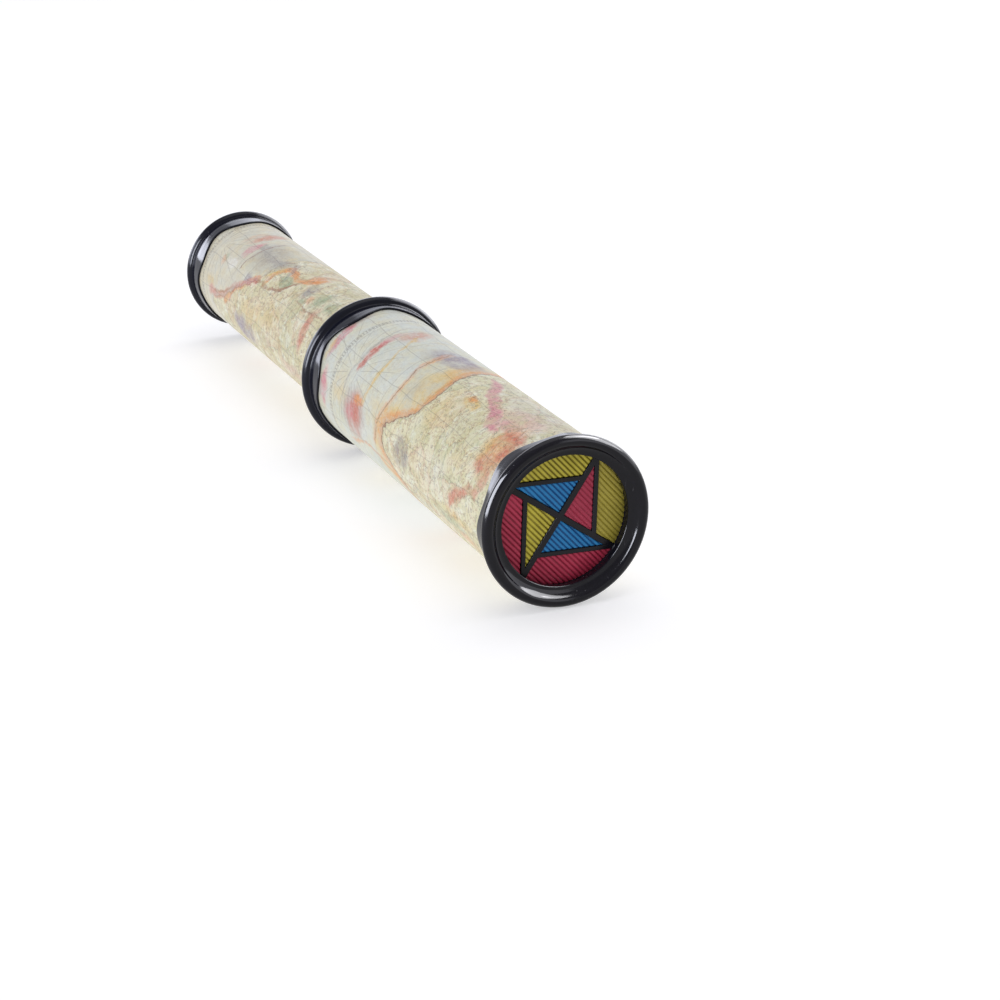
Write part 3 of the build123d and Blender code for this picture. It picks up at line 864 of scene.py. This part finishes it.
    # ---- neat lines and a chequered scale bar near the end of the sheet
    n0, n1 = neat
    in_band = g.mul(g.step(u, n0 - 0.05, n0 + 0.05), g.step(u, n1 - 0.05, n1 + 0.05, 1.0, 0.0))
    mid = (n0 + n1) / 2
    bar = g.mul(g.step(g.abs(g.sub(u, mid)), 0.22, 0.30, 1.0, 0.0), g.step(g.m("FRACT", g.div(w, 5.2)), 0.49, 0.51))
    ink = g.mx(ink, g.mul(bar, 0.55))
    for at_u in (n0, n1):
        ink = g.mx(ink, g.step(g.abs(g.sub(u, at_u)), 0.05, 0.15, 0.50, 0.0))
    tick = g.mul(g.step(g.abs(g.sub(g.m("FRACT", g.div(w, 1.3)), 0.5)), 0.14, 0.22, 1.0, 0.0), in_band)
    ink = g.mx(ink, g.mul(tick, 0.42))

    col = g.mix(ink, col, INK)

    # ---- printing grain, age, rubbing, white cut edge at the lap
    col = g.mix(g.mul(g.step(grainy, 0.30, 0.50, 1.0, 0.0), 0.20), col, srgb(236, 234, 218))
    stain = g.noise(g.p, 20.0, 4.0, 0.6, 81.0)
    col = g.mix(g.mul(g.step(stain, 0.48, 0.76), 0.14), col, srgb(204, 186, 146))
    lap = g.step(g.abs(w), math.pi * R - 0.22, math.pi * R - 0.12)
    col = g.mix(g.mul(lap, 0.8), col, srgb(244, 242, 236))

    fibre = g.noise(g.v("MULTIPLY", g.p, (0.6, 1.0, 1.0)), 0.55, 4.0, 0.6, 7.0)
    peel = g.noise(g.p, 3.2, 3.0, 0.55, 17.0)
    rough = g.add(g.step(peel, 0.3, 0.7, 0.42, 0.54), g.mul(g.sub(fibre, 0.5), 0.12))
    rough = g.add(rough, g.mul(ink, -0.05))
    n = g.bump(g.add(g.mul(fibre, 0.5), peel), 0.016)
    return g.finish(col, rough, n, IOR=1.42, Coat_Weight=0.18, Coat_Roughness=0.25, Coat_IOR=1.45)


COAST_BIG = [(-180, 74), (-150, 84), (-120, 70), (-90, 80), (-60, 84), (-35, 78), (-14, 75), (2, 72.5),
             (18, 70), (34, 68.3), (48, 70.5), (58, 75.5), (65, 82.5), (72, 88.5), (84, 91.2), (95, 89.5),
             (103, 84.5), (110, 80), (130, 66), (155, 60), (180, 74)]
SECOND_BIG = [(-8, 97), (7, 93.5), (25, 92.5), (45, 90.5), (62, 92.0), (74, 94.5), (88, 96.5), (98, 98)]
ZONES_BIG = [
    (30, -14, 30, 9, VIOLET, 0.26, 0.3), (24, 6, 13, 6, PINK, 0.42, 0.3), (40, 40, 12, 8, GREEN, 0.20, 0.3),
    (66, 60, 8, 7, GREEN, 0.18, 0.3), (44, 84, 12, 7, WHITE, 0.30, 0.3), (62, 34, 5, 10, YELLOW, 0.34, 0.3),
    (26, 20, 7, 3.4, PINK, 0.70, 0.5), (15, 24, 6, 3.0, PINK, 0.55, 0.5),
    (17, 38, 8.5, 10, ORANGE, 0.80, 0.4), (19, 50, 5.0, 3.4, RED, 0.90, 0.5), (13, 34, 3.0, 7, RED, 0.75, 0.5),
    (17, 28, 6.0, 2.4, RED, 0.55, 0.4), (14, 60, 3.4, 4.0, SALMON, 0.75, 0.5), (32, 60, 9, 6, YELLOW, 0.30, 0.3), (58, 44, 9, 6, YELLOW, 0.32, 0.3),
    (21, 34, 2.4, 3.0, RED, 0.50, 0.5), (23, 42, 2.0, 5, YELLOW, 0.6, 0.5),
    (51, 22, 6.0, 2.4, YELLOW, 0.90, 0.75), (53, 19, 2.4, 1.5, ORANGE, 0.85, 0.7),
    (73, 86, 6.8, 5.8, GREY, 1.0, 0.6), (71, 84, 3.4, 3.0, INK, 0.30, 0.4), (78, 90, 3.0, 3.6, GREY, 0.50, 0.5),
    (88, -6, 15, 6.2, VIOLET, 1.0, 0.65), (98, 2, 7, 5, GREY, 0.42, 0.4),
    (80, 24, 5.0, 9, YELLOW, 0.45, 0.4), (76, 8, 5.5, 5, ORANGE, 0.40, 0.4), (84, 40, 4.0, 4.5, GREY, 0.28, 0.4),
    (120, 0, 5.5, 6.5, SALMON, 0.75, 0.4), (124.5, 36, 2.6, 7.5, RED, 1.0, 0.6), (124.5, 50, 2.6, 2.6, RED, 0.90, 0.7),
    (125, 18, 2.4, 4.5, PINK, 0.55, 0.5), (119, 30, 2.4, 8, CYAN, 0.30, 0.4),
    (118, 89, 11.5, 9.5, VIOLET, 0.60, 0.5), (117, 89, 9.5, 8.5, SALMON, 0.85, 0.5), (117, 86, 6.5, 6.0, RED, 0.55, 0.4), (113, 76, 4.2, 2.2, ORANGE, 0.95, 0.7), (121, 90, 4.4, 3.4, PINK, 0.50, 0.5),
    (132, 78, 7.0, 6.5, YELLOW, 0.40, 0.3), (131, 100, 7.5, 5.5, GREEN, 0.20, 0.3),
    (149.5, 44, 3.0, 8.0, PINK, 1.0, 0.7), (151.5, 56, 2.0, 4.0, YELLOW, 0.75, 0.6), (147, 86, 3.0, 7.0, PINK, 0.95, 0.6),
    (151, 20, 2.6, 6.0, SALMON, 0.35, 0.5),
    (35, 112, 15, 2.2, GREEN, 0.55, 0.5), (28, 104, 12, 2.0, YELLOW, 0.60, 0.5), (22, 118, 9, 2.4, ORANGE, 0.5, 0.5),
    (96, 118, 11, 4.0, CYAN, 0.40, 0.4), (60, 116, 11, 4.0, GREY, 0.22, 0.4),
    (30, -70, 12, 10, ORANGE, 0.45, 0.5), (66, -95, 10, 9, SALMON, 0.45, 0.5),
    (112, -70, 8, 12, PINK, 0.45, 0.5), (44, 150, 12, 8, YELLOW, 0.5, 0.5),
    (104, 160, 9, 9, GREEN, 0.4, 0.5), (132, -140, 8, 9, ORANGE, 0.45, 0.5), (128, -20, 7, 7, GREY, 0.20, 0.4),
]
STROKES_BIG = [
    (COAST_BIG, True, 13.0, YELLOW, 0.62, 1.0), (COAST_BIG, True, 5.0, ORANGE, 1.0, 1.0),
    (COAST_BIG, True, 2.0, GREEN, 0.25, -1.0),
    ([(-14, 66), (-9, 62), (0, 53), (8, 46), (12, 40), (20, 36), (30, 29)], True, 2.9, PINK, 0.95, 0.0),
    ([(14, 74), (18, 72), (24, 80), (30, 88), (33, 96)], False, 2.9, SALMON, 0.95, 0.0),
    (SECOND_BIG, True, 2.2, ORANGE, 0.50, 0.0),
    ([(2, 118), (14, 113.5), (26, 110.8), (46, 108.8), (62, 108.6), (76, 110)], True, 1.3, YELLOW, 0.75, 0.0),
    ([(-4, 130), (16, 128), (40, 127.5), (66, 128), (100, 130)], True, 0.7, GREY, 0.50, 0.0),
    ([(70, 112), (84, 113), (92, 108), (100, 106), (112, 110), (124, 116)], False, 0.9, ORANGE, 0.55, 0.0),
]
ISLES_BIG = [((112, -72), (11, 12)), ((128, 160), (9, 11)), ((134, -140), (8, 9))]
COAST_SMALL = [(-180, 232), (-140, 240), (-100, 228), (-60, 236), (-20, 238), (10, 239), (30, 240.5), (44, 242),
               (52, 245), (60, 251), (68, 256.5), (78, 262), (86, 268), (91, 276), (96, 284), (112, 288), (145, 262), (180, 232)]
SECOND_SMALL = [(-10, 262), (6, 261), (22, 262), (36, 263), (48, 264)]
ZONES_SMALL = [
    (180, 27, 3.4, 4.0, GREEN, 0.95, 0.4), (190, 25, 3.8, 4.6, GREEN, 1.0, 0.4), (203.5, 25, 4.4, 4.8, GREY, 0.90, 0.4),
    (197, 34, 2.6, 2.4, ORANGE, 0.55, 0.5), (200, 40, 2.4, 2.0, GREEN, 0.70, 0.5), (208, 38, 2.6, 2.0, BROWN, 0.40, 0.5),
    (184.5, 60, 3.2, 8.5, SALMON, 0.95, 0.5), (185, 50, 1.6, 3.0, RED, 0.60, 0.6),
    (211, 10, 5.0, 4.0, ORANGE, 0.80, 0.5), (209, 0, 4.0, 4.5, SALMON, 0.45, 0.4),
    (226, 1, 5.6, 2.6, SEA2, 0.75, 0.6), (224.5, 33, 5.4, 3.0, GREEN, 0.98, 0.85),
    (251.5, 50, 3.0, 2.2, VIOLET, 0.98, 0.7), (245, 47, 3.0, 1.4, ORANGE, 0.80, 0.6),
    (252, 18, 15, 9, GREY, 0.66, 0.3), (224, 74, 10, 6, YELLOW, 0.40, 0.3), (244, 80, 5, 4, YELLOW, 0.45, 0.4), (240, 20, 4.6, 3.4, GREY, 0.60, 0.4), (262, 10, 3.0, 10, GREY, 0.50, 0.4),
    (269.5, 22, 2.8, 6.0, PINK, 0.90, 0.55), (276, -2, 3.6, 7.5, SALMON, 0.85, 0.5), (281, 10, 2.6, 5.0, ORANGE, 0.35, 0.4),
    (272.5, 50, 4.2, 2.6, WHITE, 0.85, 0.6), (281, 52, 2.2, 2.4, ORANGE, 0.60, 0.5), (280, 46, 1.6, 2.0, GREEN, 0.60, 0.5),
    (262, 76, 3.4, 3.4, GREY, 0.40, 0.4), (284, 90, 6.0, 2.4, PINK, 0.50, 0.5), (288, 80, 5.0, 2.6, YELLOW, 0.55, 0.5),
    (236, 86, 7.0, 4.5, YELLOW, 0.40, 0.4), (232, 60, 7.0, 4.0, LAND, 0.50, 0.4),
    # the violet patch at station 246, bearing 106 is painted shade along the lower side of the inner tube
    (246, 106, 12, 5.4, VIOLET, 1.0, 0.6), (222, 100, 9.0, 3.0, GREY, 0.25, 0.4), (190, 106, 12, 3.0, PINK, 0.30, 0.4),
    (214, 72, 9.0, 5.0, YELLOW, 0.26, 0.3), (196, 80, 8.0, 4.0, GREEN, 0.24, 0.3),
    (190, -60, 12, 9, ORANGE, 0.45, 0.5), (236, -70, 12, 8, PINK, 0.45, 0.5),
    (280, -90, 9, 10, GREEN, 0.4, 0.5), (215, 160, 11, 9, YELLOW, 0.45, 0.5), (270, 165, 9, 8, SALMON, 0.45, 0.5),
]
STROKES_SMALL = [
    ([(207, 4), (210, 17), (215, 22), (221, 22.5), (226, 18), (230, 16), (233.5, 21), (236, 34), (238, 46)], False, 2.4, ORANGE, 1.0, 0.0),
    ([(216, 27), (219, 35), (223, 44), (228, 49.5), (235, 51), (242, 49), (247, 51)], False, 1.1, BROWN, 1.0, 0.0),
    ([(233, 22), (237, 30), (240, 40)], False, 1.0, YELLOW, 0.8, 0.0),
    ([(244, 48), (251, 56), (258, 68), (266, 80), (276, 92), (288, 90)], False, 2.6, SALMON, 0.75, 0.0),
    ([(250, 58), (258, 72), (264, 84), (270, 96)], False, 1.6, ORANGE, 0.75, 0.0),
    ([(254, 62), (262, 74), (272, 84), (282, 88)], False, 0.9, BROWN, 0.60, 0.0),
    ([(244, 50), (252, 58), (258, 68), (262, 78)], False, 1.2, RED, 0.70, 0.0),
    ([(227, 30), (231, 10), (238, 12), (246, 22), (256, 20), (268, 8)], False, 2.6, GREY, 0.60, 0.0),
    ([(176, 44.5), (186, 44), (196, 45), (205, 44)], False, 0.6, BROWN, 0.75, 0.0),
    ([(256, 64), (260, 74), (262, 84), (264, 92)], False, 1.2, SALMON, 0.8, 0.0),
    (SECOND_SMALL, True, 0.8, GREY, 0.60, 0.0),
]
ISLES_SMALL = [((282, -80), (9, 9)), ((268, 165), (9, 8))]

M = {
    "cap": black_gloss("black_gloss_cap"),
    # the rear mouldings' base is bluer than the front cap's: a painted tint for their blue-grey reflections
    "cap_rear_painted_blue": black_gloss("black_gloss_rear_painted_blue", base=(0.0020, 0.0022, 0.0042), lo=0.08, hi=0.17, shift=40.0),
    "lead": black_gloss("black_leading", base=(0.0022, 0.0019, 0.0028), lo=0.20, hi=0.32, shift=20.0, grain=0.6),
    "yellow": tinted("tinted_yellow", (0.50, 0.43, 0.050), (0.17, 0.135, 0.008), 2.0, 0.6),
    "yellow_soft": tinted("tinted_yellow_soft", (0.37, 0.31, 0.050), (0.22, 0.180, 0.020), 22.0, 0.25, 0.7),
    "blue": tinted("tinted_blue", (0.022, 0.200, 0.450), (0.006, 0.070, 0.220), 6.0, 0.4),
    "red": tinted("tinted_red", (0.440, 0.038, 0.078), (0.225, 0.012, 0.032), 10.0, 0.25),
    "red_soft": tinted("tinted_red_soft", (0.360, 0.036, 0.070), (0.250, 0.020, 0.042), 32.0, 0.1, 0.5),
    "frosted": frosted(),
    "clear": clear(),
    "mirror": mirror(),
    "white": white_plastic(),
    "card": card("grey_card", srgb(168, 156, 138), 0.0),
    "card2": card("grey_card_inner", srgb(150, 142, 130), 30.0),
    "felt": felt(),
    "map_big": map_paper("map_paper_outer", BIG_R, COAST_BIG, SECOND_BIG, ZONES_BIG, STROKES_BIG, ISLES_BIG,
                         [(126.0, 58.0, 0.0), (124.0, -110.0, 4.2)], (138.4, 140.4), 0.0, (SEA, SEA2), 0.9),
    "map_small": map_paper("map_paper_inner", SMALL_R, COAST_SMALL, SECOND_SMALL, ZONES_SMALL, STROKES_SMALL,
                           ISLES_SMALL, [(292.0, 40.0, 0.0), (276.0, -150.0, 3.6)], (296.0, 297.6), 140.0,
                           (SMALL_SEA, SMALL_SEA2), 0.35),
}


def dress(obj, mat):
    obj.data.materials.clear()
    obj.data.materials.append(mat)


# ------------------------------------------------------------------ pieces
def settle(obj, body, node, mat):
    dress(obj, mat)
    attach(obj, body)
    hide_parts(node)
    return obj


settle(front_cap(), "barrel", "front_cap", M["cap"])
settle(middle_collar(), "barrel", "middle_collar", M["cap_rear_painted_blue"])
settle(eyepiece_cap(), "inner", "eyepiece_cap", M["cap_rear_painted_blue"])
settle(wrap("outer_paper_sheet", 2.25, 159.45, WRAP_IN_BIG, BIG_R, 110, 300, 2.0), "barrel",
       "outer_tube_wrap", M["map_big"])
settle(wrap("inner_paper_sheet", 148.3, 308.0, WRAP_IN_SMALL, SMALL_R, 110, 300, 6.0, 0.07), "inner",
       "inner_tube_wrap", M["map_small"])

PANES = [
    ("outer_pane_right_yellow", 0, True, "yellow_soft"), ("outer_pane_bottom_red", 1, True, "red"),
    ("outer_pane_left_red", 2, True, "red"), ("outer_pane_top_yellow", 3, True, "yellow"),
    ("inner_pane_right_red", 0, False, "red_soft"), ("inner_pane_bottom_blue", 1, False, "blue"),
    ("inner_pane_left_yellow", 2, False, "yellow"), ("inner_pane_top_blue", 3, False, "blue"),
]
for node, k, outer, tone in PANES:
    settle(pane(node + "_ribbed", k, outer), "barrel", node, M[tone])

CAD_MATS = {
    "leading_frame": "lead", "ribbed_diffuser": "frosted", "disc_retaining_sleeve": "card2",
    "outer_tube": "card", "extension_stop_ring": "card2", "collar_felt_ring": "felt",
    "guide_ring": "white", "inner_tube": "card", "front_keeper_ring": "card2",
    "rear_keeper_ring": "card2", "mirror_strip_1": "mirror", "mirror_strip_2": "mirror",
    "mirror_strip_3": "mirror", "mirror_sleeve": "card2", "prism_ring_front": "card2",
    "prism_ring_rear": "card2", "eyepiece_spacer": "card2", "eyepiece_window": "clear",
}
for node, key in CAD_MATS.items():
    dress(NODES[node], M[key])

lead = NODES["leading_frame"]
wm = lead.modifiers.new("join", "WELD")
wm.merge_threshold = 0.00001
bv = lead.modifiers.new("soften", "BEVEL")
bv.width = 0.00028
bv.segments = 4
bv.limit_method = "ANGLE"
bv.angle_limit = math.radians(50)
bv.use_clamp_overlap = True
bv.harden_normals = False

# -------------------------------------------------------------- floor and light
def studio_floor():
    n = 48
    size = 7.0
    verts, faces = [], []
    for i in range(n + 1):
        for j in range(n + 1):
            a = -1 + 2 * i / n
            b = -1 + 2 * j / n
            verts.append((size * a * abs(a), size * b * abs(b), -0.0002))
    for i in range(n):
        for j in range(n):
            a = i * (n + 1) + j
            faces.append((a, a + n + 1, a + n + 2, a + 1))
    ob = mesh_object("studio_floor", verts, faces)
    g = Graph("floor_white")
    n1 = g.noise(g.p, 180.0, 2.0, 0.5)
    col = g.mix(n1, (0.70, 0.70, 0.705), (0.73, 0.73, 0.735))
    g._put(g.bsdf.inputs["Emission Color"], g.mix(n1, (0.98, 0.98, 1.0), (1.0, 1.0, 1.0)))
    dress(ob, g.finish(col, g.step(n1, 0.2, 0.8, 0.80, 0.90), g.bump(g.noise(g.p, 2.0, 3.0, 0.5, 4.0), 0.01),
                       Emission_Strength=0.46))
    return ob


studio_floor()

AIM = Vector((-0.02, 0.0, 0.03))


def softbox(name, direction, dist, size_x, size_y, radiance, colour=(1, 1, 1), aim=AIM):
    """Rectangular area light at a bearing from the object. size_x is its level
    side."""
    d = Vector(direction).normalized()
    li = bpy.data.lights.new(name, "AREA")
    li.shape = "RECTANGLE"
    li.size = size_x
    li.size_y = size_y
    li.energy = radiance * math.pi * size_x * size_y
    li.color = colour
    ob = bpy.data.objects.new(name, li)
    SCENE.collection.objects.link(ob)
    ob.location = aim + d * dist
    z = d
    x = Vector((0, 0, 1)).cross(z)
    x.normalize()
    y = z.cross(x)
    ob.matrix_world = Matrix(((x[0], y[0], z[0], ob.location[0]), (x[1], y[1], z[1], ob.location[1]),
                              (x[2], y[2], z[2], ob.location[2]), (0, 0, 0, 1)))
    ob.visible_camera = False
    return ob


# one broad light overhead and two weak side fills for everything
softbox("box_overhead", (0.05, -0.12, 0.97), 1.9, 1.7, 1.7, 1.05, (1.0, 0.995, 0.99))
softbox("fill_left", (-0.27, 0.94, 0.22), 1.6, 0.55, 0.5, 4.0)
softbox("fill_right", (0.25, -0.86, 0.42), 1.7, 0.6, 0.5, 3.4)

# panels that only the glossy black mouldings see, for their streaks and soft bands
gloss = bpy.data.collections.new("black_mouldings")
front_gloss = bpy.data.collections.new("front_moulding")
left_gloss = bpy.data.collections.new("front_moulding_and_leading")
rear_gloss = bpy.data.collections.new("rear_mouldings")
for o in bpy.data.objects:
    if o.type != "MESH" or not (o.name.endswith("_moulding") or o.name == "leading_frame"):
        continue
    gloss.objects.link(o)
    if o.name in ("front_cap_moulding", "leading_frame"):
        left_gloss.objects.link(o)
    else:
        rear_gloss.objects.link(o)
    if o.name == "front_cap_moulding":
        front_gloss.objects.link(o)
for li in (softbox("edge_right_wide", (0.36, -0.80, 0.42), 1.1, 1.30, 0.9, 3.6, (0.98, 0.98, 1.03)),
           softbox("edge_behind_left", (0.86, 0.48, 0.15), 1.4, 0.80, 0.40, 7.0, (0.92, 0.95, 1.08)),
           softbox("edge_behind_right", (0.86, -0.32, 0.35), 1.4, 0.9, 0.6, 1.5, (0.92, 0.95, 1.08))):
    li.light_linking.receiver_collection = gloss
li = softbox("edge_left", (-0.27, 0.94, 0.20), 0.9, 0.80, 0.9, 37.0, (0.92, 0.95, 1.06))
li.light_linking.receiver_collection = left_gloss
for li in (softbox("edge_left_bead", (-0.30, 0.94, 0.18), 0.95, 0.50, 0.8, 22.0, (0.90, 0.94, 1.08)),
           softbox("edge_left_skirt", (0.48, 0.86, 0.16), 1.1, 0.80, 0.9, 5.0, (0.88, 0.93, 1.12)),
           softbox("edge_right_soft", (0.05, -0.85, 0.50), 1.0, 1.00, 0.8, 6.5, (0.94, 0.96, 1.05))):
    li.light_linking.receiver_collection = rear_gloss
for li in (softbox("edge_right_high", (-0.10, -0.58, 0.80), 0.9, 0.50, 0.50, 25.0, (0.98, 0.98, 1.02)),
           softbox("edge_right_low", (-0.62, -0.74, 0.16), 1.1, 1.30, 0.70, 2.4, (0.96, 0.97, 1.05)),
           softbox("edge_top", (-0.36, -0.70, 0.60), 0.9, 0.60, 0.66, 21.0, (0.98, 0.98, 1.02))):
    li.light_linking.receiver_collection = front_gloss

world = bpy.data.worlds.new("studio")
SCENE.world = world
world.use_nodes = True
wt = world.node_tree
wt.nodes.clear()
wo = wt.nodes.new("ShaderNodeOutputWorld")
wb = wt.nodes.new("ShaderNodeBackground")
tc = wt.nodes.new("ShaderNodeTexCoord")
sp = wt.nodes.new("ShaderNodeSeparateXYZ")
wt.links.new(tc.outputs["Generated"], sp.inputs[0])


def wramp(src, stops):
    n = wt.nodes.new("ShaderNodeValToRGB")
    n.color_ramp.interpolation = "EASE"
    while len(n.color_ramp.elements) < len(stops):
        n.color_ramp.elements.new(0.5)
    for e, (pos, c) in zip(n.color_ramp.elements, stops):
        e.position = pos
        e.color = tuple(c) + (1.0,)
    wt.links.new(src, n.inputs[0])
    return n.outputs[0]


sky = wramp(sp.outputs[2], [(0.0, (0.95, 0.95, 0.96)), (0.20, (0.46, 0.46, 0.49)), (1.0, (0.52, 0.52, 0.54))])
behind = wramp(sp.outputs[0], [(0.42, (0.0, 0.0, 0.0)), (0.80, (1.0, 1.0, 1.0))])
low = wramp(sp.outputs[2], [(0.30, (1.0, 1.0, 1.0)), (0.62, (0.0, 0.0, 0.0))])
mul = wt.nodes.new("ShaderNodeMix")
mul.data_type, mul.blend_type = "RGBA", "MULTIPLY"
mul.inputs[0].default_value = 1.0
wt.links.new(behind, mul.inputs[6])
wt.links.new(low, mul.inputs[7])
glow = wt.nodes.new("ShaderNodeMix")
glow.data_type, glow.blend_type = "RGBA", "MIX"
wt.links.new(mul.outputs[2], glow.inputs[0])
wt.links.new(sky, glow.inputs[6])
glow.inputs[7].default_value = (1.10, 1.13, 1.25, 1.0)
wt.links.new(glow.outputs[2], wb.inputs[0])
wb.inputs[1].default_value = 1.0
wt.links.new(wb.outputs[0], wo.inputs[0])

SCENE.view_settings.view_transform = "Standard"
SCENE.view_settings.look = "None"
SCENE.view_settings.exposure = 0.0
SCENE.view_settings.gamma = 1.0

# --------------------------------------------------------------------- camera
cd = bpy.data.cameras.new("photo_camera")
cd.lens = 91.23
cd.sensor_width = 36.0
cd.sensor_fit = "HORIZONTAL"
cd.clip_start = 0.01
cd.clip_end = 60.0
cam = bpy.data.objects.new("photo_camera", cd)
SCENE.collection.objects.link(cam)
rt, up, bk = (-0.39879, -0.91704, 0.0), (0.32314, -0.14053, 0.93587), (-0.85822, 0.37321, 0.35238)
cam.matrix_world = Matrix(((rt[0], up[0], bk[0], -0.7968), (rt[1], up[1], bk[1], 0.3006),
                           (rt[2], up[2], bk[2], 0.3011), (0, 0, 0, 1)))
SCENE.camera = cam
